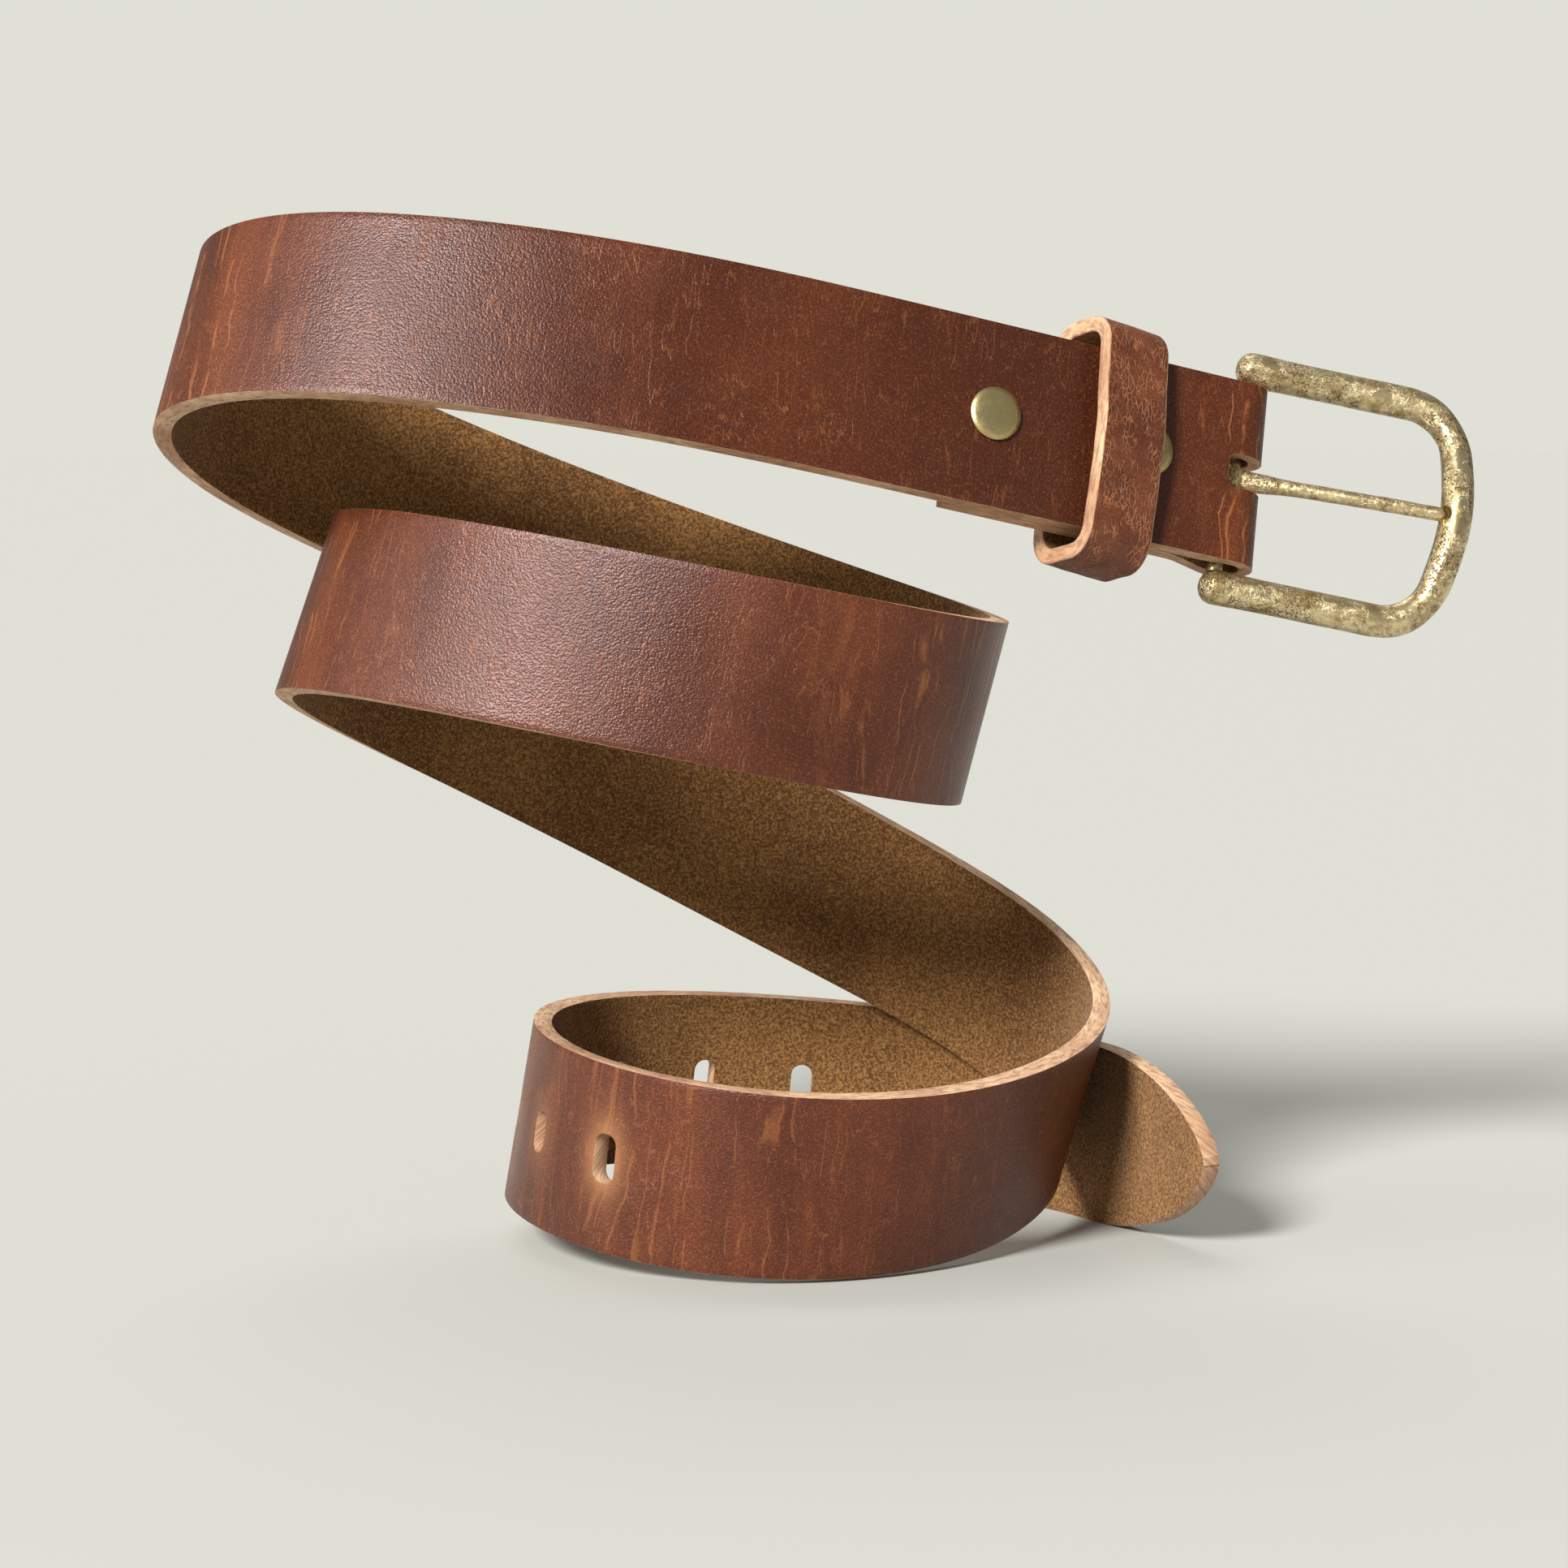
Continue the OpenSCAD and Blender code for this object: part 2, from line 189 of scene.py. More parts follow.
def rate(turns, stretch, s):
    """Radians per metre at a distance, from degrees per stretch."""
    p = (s - STRAIGHT_L) / stretch
    if p <= 0:
        return 0.0
    i = int(p)
    f = p - i
    return radians(turns[i] * (1 - f) + turns[i + 1] * f) / stretch


def strap_route():
    """Stations of place, along, out of the grain and up, every ROUTE_STEP."""
    place = bar_at + end_turn @ Vector((0, front_y, 0))
    along, out, up = (end_turn @ Vector(v) for v in ((-1, 0, 0), (0, -1, 0), (0, 0, 1)))
    stations = [(place, along, out, up)]
    s = ROUTE_STEP / 2
    while s < STRAP_L + 2 * ROUTE_STEP:
        axis = along * rate(TWISTS, TWIST_STEP, s) - out * rate(SWAYS, TWIST_STEP, s)
        axis = (axis - up * rate(BENDS, BEND_STEP, s)) * ROUTE_STEP
        turn = Matrix.Rotation(axis.length, 3, axis) if axis.length else Matrix.Identity(3)
        middle = (along + turn @ along).normalized()
        place = place + middle * ROUTE_STEP
        along, out, up = turn @ along, turn @ out, turn @ up
        stations.append((place, along, out, up))
        s += ROUTE_STEP
    return stations


route = strap_route()


def coil_station(s):
    """Place, out and up at a distance from the heel bar, smooth between the stations."""
    i = int(s / ROUTE_STEP)
    f = s / ROUTE_STEP - i
    (p0, t0, _, w0), (p1, t1, _, w1) = route[i], route[i + 1]
    ease = f * f * (3 - 2 * f)
    place = p0.lerp(p1, ease) + (t0 * f * (1 - f) ** 2 - t1 * f * f * (1 - f)) * ROUTE_STEP
    along = t0.lerp(t1, f).normalized()
    up = w0.lerp(w1, f)
    up = (up - along * up.dot(along)).normalized()
    return place, up.cross(along), up


ease_y = FOLD_R * cos(TURN_IN) - TURN_IN_R * (1 - cos(TURN_IN)) - back_y
ease_x = (FOLD_R + TURN_IN_R) * sin(TURN_IN) + ease_y / tan(TURN_IN)
arc_l = FOLD_R * (pi + TURN_IN)
slope_l = ease_y / sin(TURN_IN)
lead_l = TURN_IN_R * TURN_IN
back_l = arc_l + slope_l + lead_l + TAIL_L - ease_x


def fold_station(d):
    """Place, out and up at a distance back from the heel bar, round the fold."""
    if d < arc_l:
        t = -pi + d / FOLD_R
        x, y = -FOLD_R * sin(t), FOLD_R * cos(t)
    elif d < arc_l + slope_l:
        t = TURN_IN
        x = -FOLD_R * sin(t) - (d - arc_l) * cos(t)
        y = FOLD_R * cos(t) - (d - arc_l) * sin(t)
    else:
        t = max(TURN_IN - (d - arc_l - slope_l) / TURN_IN_R, 0)
        straight = max(d - arc_l - slope_l - lead_l, 0)
        x = TURN_IN_R * sin(t) - ease_x - straight
        y = back_y + TURN_IN_R * (1 - cos(t))
    out = Vector((-sin(t), cos(t), 0))
    return end_place @ Vector((x, y, 0)), end_turn @ out, end_turn @ Vector((0, 0, 1))


def pared(s):
    """How much the flesh side is thinned near the fold."""
    if s > 0:
        return FOLD_PARE * max(1 - s / PARE_L, 0)
    past = -s - arc_l - slope_l
    return FOLD_PARE * min(max(1 - past / PARE_L, 0), 1)


def back_distance(x):
    """Distance along the strap of a point x behind the heel bar on the turned-back layer."""
    return -(arc_l + slope_l + lead_l + x - ease_x)


def tip_half_width(q):
    """Half the strap's width at an angle round the pointed tip, from 0 to a quarter turn."""
    return STRAP_W / 2 * cos(q) ** 1.25


def cut_opening(form, at, half, corner):
    """Takes an opening with round corners out of a flat grid."""
    def inside(p):
        core = [max(abs(p[k] - at[k]) - (half[k] - corner), 0) for k in (0, 1)]
        return (core[0] ** 2 + core[1] ** 2) ** 0.5 < corner

    cells = [f for f in form.faces if inside(f.calc_center_median())]
    bmesh.ops.delete(form, geom=cells, context="FACES")

    def at_rim(v):
        near = all(abs(v.co[k] - at[k]) < half[k] + 2 * CELL_L for k in (0, 1))
        return v.is_boundary and near

    edges = [e for e in form.edges if e.is_boundary and all(at_rim(v) for v in e.verts)]
    bmesh.ops.subdivide_edges(form, edges=edges, cuts=2)
    for v in [v for v in form.verts if at_rim(v)]:
        core = [max(min(v.co[k] - at[k], half[k] - corner), corner - half[k]) for k in (0, 1)]
        spoke = Vector((v.co.x - at[0] - core[0], v.co.y - at[1] - core[1], 0)).normalized()
        v.co = Vector((at[0] + core[0], at[1] + core[1], v.co.z)) + spoke * corner


def of_kind(geometry, kind):
    """The vertices, edges or faces among what an operator returns."""
    return [g for g in geometry if isinstance(g, kind)]


hole_distances = [STRAP_L - LAST_HOLE - i * HOLE_PITCH for i in range(HOLE_COUNT)]
worn_hole = hole_distances[-1]


def flat_strap():
    """The strap as it lies flat: X along it, Y across it, Z out of its grain side."""
    form = bmesh.new()
    lead = hole_distances[0]
    rows_fore = int((STRAP_L - TIP_L - lead) / CELL_L)
    rows_back = int((lead + back_l) / CELL_L)
    rows = rows_fore + rows_back
    bmesh.ops.create_grid(form, x_segments=rows, y_segments=CELLS_W, size=0.5)
    bmesh.ops.scale(form, vec=(rows * CELL_L, STRAP_W, 1), verts=form.verts)
    middle = lead + (rows_fore - rows_back) * CELL_L / 2
    bmesh.ops.translate(form, vec=(middle, 0, 0), verts=form.verts)
    rims = [e for e in form.edges if e.is_boundary and e.verts[0].co.x > STRAP_L - 2 * TIP_L]
    tip_edge = [e for e in rims if abs(e.verts[0].co.x - e.verts[1].co.x) < 0.1 * CELL_L]
    tip_from = max(v.co.x for v in form.verts)
    reach = STRAP_L - tip_from
    for i in range(1, TIP_ROWS + 1):
        grown = bmesh.ops.extrude_edge_only(form, edges=tip_edge)["geom"]
        q = pi / 2 * i / TIP_ROWS
        before = tip_half_width(pi / 2 * (i - 1) / TIP_ROWS)
        scale = max(tip_half_width(min(q, 1.5)), 0.2 * MM) / before
        for v in of_kind(grown, bmesh.types.BMVert):
            v.co.x = tip_from + reach * sin(q)
            v.co.y *= scale
        tip_edge = of_kind(grown, bmesh.types.BMEdge)
    for distance in hole_distances:
        worn = HOLE_STRETCH if distance == worn_hole else 1
        hole_half = (HOLE_W / 2 * worn, HOLE_H / 2 * worn)
        cut_opening(form, (distance, 0), hole_half, HOLE_CORNER_R)
    for post_x in (NEAR_POST_X, FAR_POST_X):
        for x in (post_x, back_distance(post_x)):
            cut_opening(form, (x, 0), (POST_HOLE_R, POST_HOLE_R), POST_HOLE_R)
    slot_half = (SLOT_FORE - back_distance(SLOT_BACK) + SLOT_BACK) / 2
    slot_at = (SLOT_FORE - slot_half, 0)
    cut_opening(form, slot_at, (slot_half, SLOT_H / 2), SLOT_CORNER_R)
    bmesh.ops.recalc_face_normals(form, faces=form.faces)
    if sum(f.normal.z for f in form.faces) < 0:
        bmesh.ops.reverse_faces(form, faces=form.faces)
    return form


def wall_between(form, rims, thickness):
    """Raises a wall from every lower rim edge to the upper one."""
    low = [e for e in rims if e.verts[0].co.z < 0]
    grown = bmesh.ops.extrude_edge_only(form, edges=low)["geom"]
    raised = of_kind(grown, bmesh.types.BMVert)
    walls = of_kind(grown, bmesh.types.BMFace)
    bmesh.ops.translate(form, vec=(0, 0, thickness), verts=raised)
    bmesh.ops.remove_doubles(form, verts=form.verts, dist=0.01 * MM)
    return [f for f in walls if f.is_valid]


def thicken(form, thickness, rounding):
    """Gives a flat form its thickness and soft edges; marks grain 0, flesh 1 and cut edge 2."""
    top = list(form.faces)
    bmesh.ops.translate(form, vec=(0, 0, thickness / 2), verts=form.verts)
    under = bmesh.ops.duplicate(form, geom=top)["geom"]
    low_faces = of_kind(under, bmesh.types.BMFace)
    low_verts = of_kind(under, bmesh.types.BMVert)
    bmesh.ops.translate(form, vec=(0, 0, -thickness), verts=low_verts)
    bmesh.ops.reverse_faces(form, faces=low_faces)
    for f in low_faces:
        f.material_index = 1
    rims = [e for e in form.edges if e.is_boundary]
    walls = wall_between(form, rims, thickness)
    for f in walls:
        f.material_index = 2
    sharp = {
        e for f in walls for e in f.edges if any(g.material_index != 2 for g in e.link_faces)
    }
    rounded = bmesh.ops.bevel(
        form, geom=list(sharp), offset=rounding, segments=2, affect="EDGES", profile=0.5,
        material=-1, clamp_overlap=True,
    )
    for f in rounded["faces"]:
        f.material_index = 2


def wind(form, station_of):
    """Takes a flat form to its place: station_of(x) gives a place, a way out and a way up."""
    stations = {}
    for v in form.verts:
        x = v.co.x
        if x not in stations:
            stations[x] = station_of(x)
        place, out, up = stations[x]
        v.co = place + out * v.co.z + up * v.co.y


def strap_station(s):
    """Place, out and up anywhere on the strap, with the turned-back end below zero."""
    return coil_station(s) if s > 0 else fold_station(-s)


def flat_layout(form):
    """Keeps each point's place on the flat leather as the piece's UV map, in metres."""
    layer = form.loops.layers.uv.new("flat")
    for f in form.faces:
        for loop in f.loops:
            loop[layer].uv = (loop.vert.co.x, loop.vert.co.y + loop.vert.co.z)


def worn_and_darker_places(form):
    """Marks how hard the strap is bent there, where the prong has rubbed it, and its dark end."""
    bent = form.verts.layers.float.new("bent")
    rubbed = form.verts.layers.float.new("rubbed")
    dark_near_buckle = form.verts.layers.float.new("dark_near_buckle")
    for v in form.verts:
        x = max(v.co.x, 0)
        v[bent] = min(abs(rate(BENDS, BEND_STEP, x)) / HARD_BEND, 1) if x < STRAP_L - TIP_L else 0
        fold = exp(-((v.co.x / FOLD_WORN_L) ** 2))
        v[bent] = max(v[bent], fold)
        # Darker round a stretch near the buckle end, and not at the fold itself.
        v[dark_near_buckle] = exp(-(((x - DARK_NEAR_BUCKLE_AT) / DARK_NEAR_BUCKLE_L) ** 2)) * (1 - fold)
        for distance in hole_distances:
            off = Vector((x - distance, v.co.y * RUB_ACROSS)).length
            depth = 1 if distance == worn_hole else LIGHT_RUB
            v[rubbed] = max(v[rubbed], depth * exp(-((off / RUBBED_R) ** 2)))


def finish_piece(form, name, materials, body, replaced):
    """Makes a form an object with its materials, in its place in the frame."""
    mesh = bpy.data.meshes.new(name)
    form.to_mesh(mesh)
    form.free()
    mesh.shade_smooth()
    piece = bpy.data.objects.new(name, mesh)
    for material in materials:
        mesh.materials.append(material)
    bpy.context.scene.collection.objects.link(piece)
    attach(piece, body)
    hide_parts(*replaced)
    return piece


class Recipe:
    """A procedural material under construction: scales per metre, depths in metres."""

    def __init__(self, name, roughness):
        self.material = bpy.data.materials.new(name)
        self.material.use_nodes = True
        self.nodes = self.material.node_tree.nodes
        self.links = self.material.node_tree.links
        self.shader = self.nodes["Principled BSDF"]
        self.shader.inputs["Roughness"].default_value = roughness
        self.where = self.nodes.new("ShaderNodeTexCoord").outputs["Object"]

    def join(self, value, socket):
        """Links a node's output to a socket, or sets a plain value on it."""
        if isinstance(value, bpy.types.NodeSocket):
            self.links.new(value, socket)
        else:
            socket.default_value = value

    def flat(self, along, across):
        """Flat leather coordinates, squeezed along and across."""
        uv = self.nodes.new("ShaderNodeUVMap")
        uv.uv_map = "flat"
        mapping = self.nodes.new("ShaderNodeMapping")
        mapping.inputs["Scale"].default_value = (along, across, 1)
        self.links.new(uv.outputs["UV"], mapping.inputs["Vector"])
        return mapping.outputs["Vector"]

    def marks(self, name):
        """How bent, rubbed or darkened each place is, from one of the strap's own attributes."""
        attribute = self.nodes.new("ShaderNodeAttribute")
        attribute.attribute_name = name
        return attribute.outputs["Fac"]

    def cloud(self, scale, detail=4, roughness=0.55, vector=None, distortion=0):
        """Soft patches."""
        n = self.nodes.new("ShaderNodeTexNoise")
        n.inputs["Scale"].default_value = scale
        n.inputs["Detail"].default_value = detail
        n.inputs["Roughness"].default_value = roughness
        n.inputs["Distortion"].default_value = distortion
        self.links.new(vector or self.where, n.inputs["Vector"])
        return n.outputs["Fac"]

    def cells(self, scale, feature="F1", vector=None, smoothness=None):
        """Pebbles, or the cracks between them."""
        n = self.nodes.new("ShaderNodeTexVoronoi")
        n.feature = feature
        n.inputs["Scale"].default_value = scale
        if smoothness is not None:
            n.inputs["Smoothness"].default_value = smoothness
        self.links.new(vector or self.where, n.inputs["Vector"])
        return n.outputs["Distance"]

    def ridges(self, scale, width, vector):
        """Thin wandering lines: where a cloud passes through its middle value."""
        middle = self.sum("SUBTRACT", self.cloud(scale, 2, vector=vector), 0.5)
        return self.span(self.sum("ABSOLUTE", middle, 0.0), 0.0, width, 1, 0)

    def warp(self, scale, amount, vector=None, along_only=False):
        """Coordinates pushed about by a cloud, so that a pattern's lines wander."""
        n = self.nodes.new("ShaderNodeTexNoise")
        n.inputs["Scale"].default_value = scale
        n.inputs["Detail"].default_value = 3
        self.links.new(self.where if along_only else vector or self.where, n.inputs["Vector"])
        push = self.nodes.new("ShaderNodeVectorMath")
        push.operation = "MULTIPLY_ADD"
        self.links.new(n.outputs["Color"], push.inputs[0])
        push.inputs[1].default_value = (amount, 0, 0) if along_only else (amount,) * 3
        self.links.new(vector or self.where, push.inputs[2])
        return push.outputs["Vector"]

    def span(self, value, low, high, to_low=0.0, to_high=1.0):
        """Takes a value from one range to another, with soft ends."""
        n = self.nodes.new("ShaderNodeMapRange")
        n.interpolation_type = "SMOOTHSTEP"
        self.join(value, n.inputs["Value"])
        n.inputs["From Min"].default_value = low
        n.inputs["From Max"].default_value = high
        n.inputs["To Min"].default_value = to_low
        n.inputs["To Max"].default_value = to_high
        return n.outputs["Result"]

    def sum(self, operation, a, b):
        """One step of arithmetic."""
        n = self.nodes.new("ShaderNodeMath")
        n.operation = operation
        self.join(a, n.inputs[0])
        self.join(b, n.inputs[1])
        return n.outputs[0]

    def blend(self, amount, first, second):
        """Mixes two colours."""
        n = self.nodes.new("ShaderNodeMix")
        n.data_type = "RGBA"
        self.join(amount, n.inputs["Factor"])
        self.join(first, n.inputs["A"])
        self.join(second, n.inputs["B"])
        return n.outputs["Result"]

    def relief(self, height, depth, strength=1.0, before=None):
        """Small ups and downs of the skin, on top of those that came before."""
        n = self.nodes.new("ShaderNodeBump")
        n.inputs["Strength"].default_value = strength
        n.inputs["Distance"].default_value = depth
        self.links.new(height, n.inputs["Height"])
        if before:
            self.links.new(before, n.inputs["Normal"])
        return n.outputs["Normal"]

    def finish(self, colour, roughness=None, normal=None):
        """Links the colour, the roughness and the relief to the shader."""
        self.links.new(colour, self.shader.inputs["Base Color"])
        if roughness:
            self.links.new(roughness, self.shader.inputs["Roughness"])
        if normal:
            self.links.new(normal, self.shader.inputs["Normal"])
        return self.material


GRAIN_DEEP = (0.056, 0.0125, 0.004, 1)
GRAIN_BROWN = (0.102, 0.025, 0.0085, 1)
GRAIN_PULLED_UP = (0.17, 0.045, 0.014, 1)
GRAIN_DARK_NEAR_BUCKLE = (0.042, 0.01, 0.004, 1)
GRAIN_PORE = (0.035, 0.008, 0.003, 1)
GRAIN_FLECK = (0.25, 0.082, 0.03, 1)
GRAIN_CREASE = (0.4, 0.14, 0.042, 1)
GRAIN_RUBBED = (0.4, 0.18, 0.075, 1)
GRAIN_SHEEN = (1, 0.86, 0.86, 1)
NAP_BROWN = (0.17, 0.076, 0.023, 1)
NAP_GOLD = (0.28, 0.135, 0.043, 1)
NAP_DARK = (0.05, 0.02, 0.006, 1)
NAP_PALE = (0.46, 0.25, 0.09, 1)
NAP_SHEEN = (1, 0.82, 0.68, 1)
FIBRE_TAN = (0.4, 0.21, 0.11, 1)
FIBRE_PALE = (0.66, 0.43, 0.26, 1)
FIBRE_DARK = (0.2, 0.1, 0.055, 1)


def grain_leather():
    """Waxed brown grain: finely pebbled, lighter and creased in orange where it is bent."""
    r = Recipe("waxed_grain", 0.4)
    across = r.flat(1, 0.16)
    drift = r.span(r.cloud(26, 5), 0.34, 0.66)
    tone = r.blend(drift, GRAIN_DEEP, GRAIN_BROWN)
    band = r.span(r.cloud(95, 4, vector=across), 0.4, 0.68)
    lift = r.sum("MULTIPLY", band, r.span(r.marks("bent"), 0.25, 0.9, 0.2, 0.75))
    tone = r.blend(lift, tone, GRAIN_PULLED_UP)
    # A darker stretch of the strap near the buckle end.
    tone = r.blend(r.sum("MULTIPLY", r.marks("dark_near_buckle"), 0.75), tone, GRAIN_DARK_NEAR_BUCKLE)
    speck = r.cloud(2500, 3, 0.7)
    tone = r.blend(r.span(speck, 0.4, 0.62, 0.5, 0), tone, GRAIN_PORE)
    tone = r.blend(r.span(speck, 0.52, 0.72, 0, 0.45), tone, GRAIN_FLECK)
    wander = r.warp(500, 0.0006, r.warp(45, 0.01, r.flat(1, 0.03), True), True)
    long_crease = r.span(r.cells(190, "DISTANCE_TO_EDGE", wander), 0.0, 0.036, 1, 0)
    long_crease = r.sum("MULTIPLY", long_crease, r.span(r.cloud(120, 4), 0.42, 0.56))
    long_crease = r.sum("MULTIPLY", long_crease, r.span(r.marks("bent"), 0.4, 0.95, 0.05, 1))
    streak = r.ridges(300, 0.016, r.flat(1, 0.16))
    streak = r.sum("MULTIPLY", streak, r.span(r.cloud(150, 3), 0.46, 0.6))
    fine_crease = r.cells(330, "DISTANCE_TO_EDGE", r.warp(420, 0.005, r.flat(1, 0.6)))
    fine_crease = r.span(fine_crease, 0.0, 0.045, 1, 0)
    fine_crease = r.sum("MULTIPLY", fine_crease, r.span(r.cloud(300, 2), 0.48, 0.58))
    fine_crease = r.sum("MULTIPLY", fine_crease, r.span(r.cloud(38, 3), 0.5, 0.62))
    faint = r.sum("MAXIMUM", r.sum("MULTIPLY", fine_crease, 0.28), r.sum("MULTIPLY", streak, 0.2))
    crease = r.sum("MAXIMUM", r.sum("MULTIPLY", long_crease, 0.58), faint)
    tone = r.blend(r.sum("MULTIPLY", crease, 0.85), tone, GRAIN_CREASE)
    tone = r.blend(r.sum("MULTIPLY", r.marks("rubbed"), 0.8), tone, GRAIN_RUBBED)
    pebble = r.cells(2400, "SMOOTH_F1", r.warp(1200, 0.0004), 0.4)
    height = r.sum("ADD", r.sum("MULTIPLY", pebble, -0.7), r.sum("MULTIPLY", speck, 0.6))
    folds = r.sum("MULTIPLY", crease, -1)
    normal = r.relief(height, 0.00013, 0.8, r.relief(folds, 0.00018, 0.6))
    gloss = r.span(r.cloud(60, 4), 0.3, 0.7, 0.3, 0.39)
    r.shader.inputs["Specular IOR Level"].default_value = 0.42
    r.shader.inputs["Specular Tint"].default_value = GRAIN_SHEEN
    return r.finish(tone, gloss, normal)


def flesh_leather():
    """The suede flesh side: short golden-brown nap, speckled and rubbed smooth in places."""
    r = Recipe("suede_flesh", 0.9)
    drift = r.span(r.cloud(30, 4), 0.36, 0.66)
    tone = r.blend(drift, NAP_BROWN, NAP_GOLD)
    nap = r.cloud(1900, 4, 0.75)
    tone = r.blend(r.span(nap, 0.4, 0.56, 0.75, 0), tone, NAP_DARK)
    tone = r.blend(r.span(nap, 0.5, 0.66, 0, 0.6), tone, NAP_PALE)
    normal = r.relief(nap, 0.0003, 0.8)
    r.shader.inputs["Sheen Weight"].default_value = 0.12
    r.shader.inputs["Sheen Roughness"].default_value = 0.45
    r.shader.inputs["Sheen Tint"].default_value = NAP_SHEEN
    r.shader.inputs["Specular IOR Level"].default_value = 0.2
    return r.finish(tone, None, normal)


def cut_leather():
    """The raw cut edge: pale fibre in long streaks, with darker patches of wax and dirt."""
    r = Recipe("cut_edge", 0.75)
    tone = r.blend(r.span(r.cloud(70, 4), 0.3, 0.7), FIBRE_TAN, FIBRE_PALE)
    streak = r.span(r.cloud(1100, 4, 0.7, r.flat(0.3, 1)), 0.44, 0.62)
    tone = r.blend(r.sum("MULTIPLY", streak, 0.65), tone, FIBRE_DARK)
    normal = r.relief(r.cloud(1400, 4, vector=r.flat(0.3, 1)), 0.0003, 0.7)
    return r.finish(tone, None, normal)


strap_form = flat_strap()
thicken(strap_form, STRAP_T, EDGE_SOFT)
flat_layout(strap_form)
worn_and_darker_places(strap_form)
for v in strap_form.verts:
    if v.co.z < 0:
        v.co.z += pared(v.co.x)
wind(strap_form, strap_station)
strap_materials = [grain_leather(), flesh_leather(), cut_leather()]
finish_piece(strap_form, "leather_strap", strap_materials, "strap", ["strap"])


# ---- Keeper ----
# A short band of the same leather round both layers of the strap, its cut edges left raw and
# pale, its ends butted on the hidden back and held there by a brass wire staple.
KEEPER_W = 14 * MM
KEEPER_T = 3 * MM
KEEPER_IN_H = 41 * MM
KEEPER_IN_D = 12.4 * MM
KEEPER_CORNER_R = 3.5 * MM
KEEPER_BOW = 1 * MM
KEEPER_X = 27.5 * MM
KEEPER_DROP = 0.5 * MM
KEEPER_TURN = radians(12)
KEEPER_BACK_GAP = 1.5 * MM
KEEPER_SEAM = 0.3 * MM
KEEPER_SOFT = 0.4 * MM
KEEPER_RAGGED = 0.25 * MM
KEEPER_UNEVEN = 0.12 * MM
KEEPER_ROWS = 110
KEEPER_COLUMNS = 14
KEEPER_DEEP = (0.11, 0.029, 0.012, 1)
KEEPER_BROWN = (0.19, 0.056, 0.022, 1)
KEEPER_WRINKLE = (0.45, 0.16, 0.06, 1)
KEEPER_PORE = (0.035, 0.009, 0.004, 1)

keeper_half_d = (KEEPER_IN_D * cos(KEEPER_TURN) - KEEPER_W * sin(KEEPER_TURN)) / 2
keeper_at = Vector((-KEEPER_X, back_face + KEEPER_BACK_GAP - keeper_half_d, -KEEPER_DROP))
keeper_turn = Matrix.Rotation(KEEPER_TURN, 3, "Z")
keeper_r = KEEPER_CORNER_R + KEEPER_T / 2
keeper_flat_h = KEEPER_IN_H - 2 * KEEPER_CORNER_R
keeper_flat_d = KEEPER_IN_D - 2 * KEEPER_CORNER_R
keeper_arc = pi / 2 * keeper_r
keeper_l = 2 * (keeper_flat_h + keeper_flat_d) + 4 * keeper_arc


def keeper_station(d):
    """Round the loop from the seam at the back: up, over, down the front and under."""
    runs = [keeper_flat_h / 2, keeper_flat_d, keeper_flat_h, keeper_flat_d, keeper_flat_h / 2]
    side, d = 0, d % keeper_l
    spot = Vector((0, keeper_flat_d / 2 + keeper_r, 0))
    out, along = Vector((0, 1, 0)), Vector((0, 0, 1))
    while True:
        if d <= runs[side] or side == 4:
            spot = spot + along * d
            break
        spot, d = spot + along * runs[side], d - runs[side]
        centre = spot - out * keeper_r
        t = min(d / keeper_arc, 1) * pi / 2
        turned_out = out * cos(t) + along * sin(t)
        along = along * cos(t) - out * sin(t)
        spot, out = centre + turned_out * keeper_r, turned_out
        if d <= keeper_arc:
            break
        side, d = side + 1, d - keeper_arc
    if spot.y < 0:
        bulge = max(1 - (2 * spot.z / keeper_flat_h) ** 2, 0) ** 1.6
        spot.y -= KEEPER_BOW * bulge
    turned_out, across = keeper_turn @ out, keeper_turn @ Vector((1, 0, 0))
    return end_place @ (keeper_turn @ spot + keeper_at), end_turn @ turned_out, end_turn @ across


def keeper_leather():
    """Lighter brown than the strap, wrinkled all over with fine orange-lit creases."""
    r = Recipe("keeper_grain", 0.5)
    tone = r.blend(r.span(r.cloud(90, 4), 0.32, 0.66), KEEPER_DEEP, KEEPER_BROWN)
    wrinkle_ways = r.warp(420, 0.002, r.flat(0.55, 1))
    wrinkle = r.span(r.cells(1000, "DISTANCE_TO_EDGE", wrinkle_ways), 0.0, 0.13, 1, 0)
    wrinkle = r.sum("MULTIPLY", wrinkle, r.span(r.cloud(260, 3), 0.38, 0.58))
    tone = r.blend(r.sum("MULTIPLY", wrinkle, 0.65), tone, KEEPER_WRINKLE)
    speck = r.cloud(2300, 3, 0.7)
    tone = r.blend(r.span(speck, 0.4, 0.6, 0.5, 0), tone, KEEPER_PORE)
    height = r.sum("SUBTRACT", r.sum("MULTIPLY", speck, 0.6), r.sum("MULTIPLY", wrinkle, 0.8))
    normal = r.relief(height, 0.0002, 0.8)
    r.shader.inputs["Specular IOR Level"].default_value = 0.35
    gloss = r.span(r.cloud(300, 3), 0.3, 0.7, 0.42, 0.58)
    return r.finish(tone, gloss, normal)


keeper_form = bmesh.new()
bmesh.ops.create_grid(
    keeper_form, x_segments=KEEPER_ROWS, y_segments=KEEPER_COLUMNS, size=0.5,
)
bmesh.ops.scale(keeper_form, vec=(keeper_l - KEEPER_SEAM, KEEPER_W, 1), verts=keeper_form.verts)
bmesh.ops.translate(keeper_form, vec=(keeper_l / 2, 0, 0), verts=keeper_form.verts)
thicken(keeper_form, KEEPER_T, KEEPER_SOFT)
flat_layout(keeper_form)
for v in keeper_form.verts:
    v.co.y += KEEPER_RAGGED * noise.noise(v.co * 160)
    v.co.z += KEEPER_UNEVEN * noise.noise(v.co * 240 + Vector((5, 0, 0)))
wind(keeper_form, keeper_station)
keeper_materials = [keeper_leather(), strap_materials[1], strap_materials[2]]
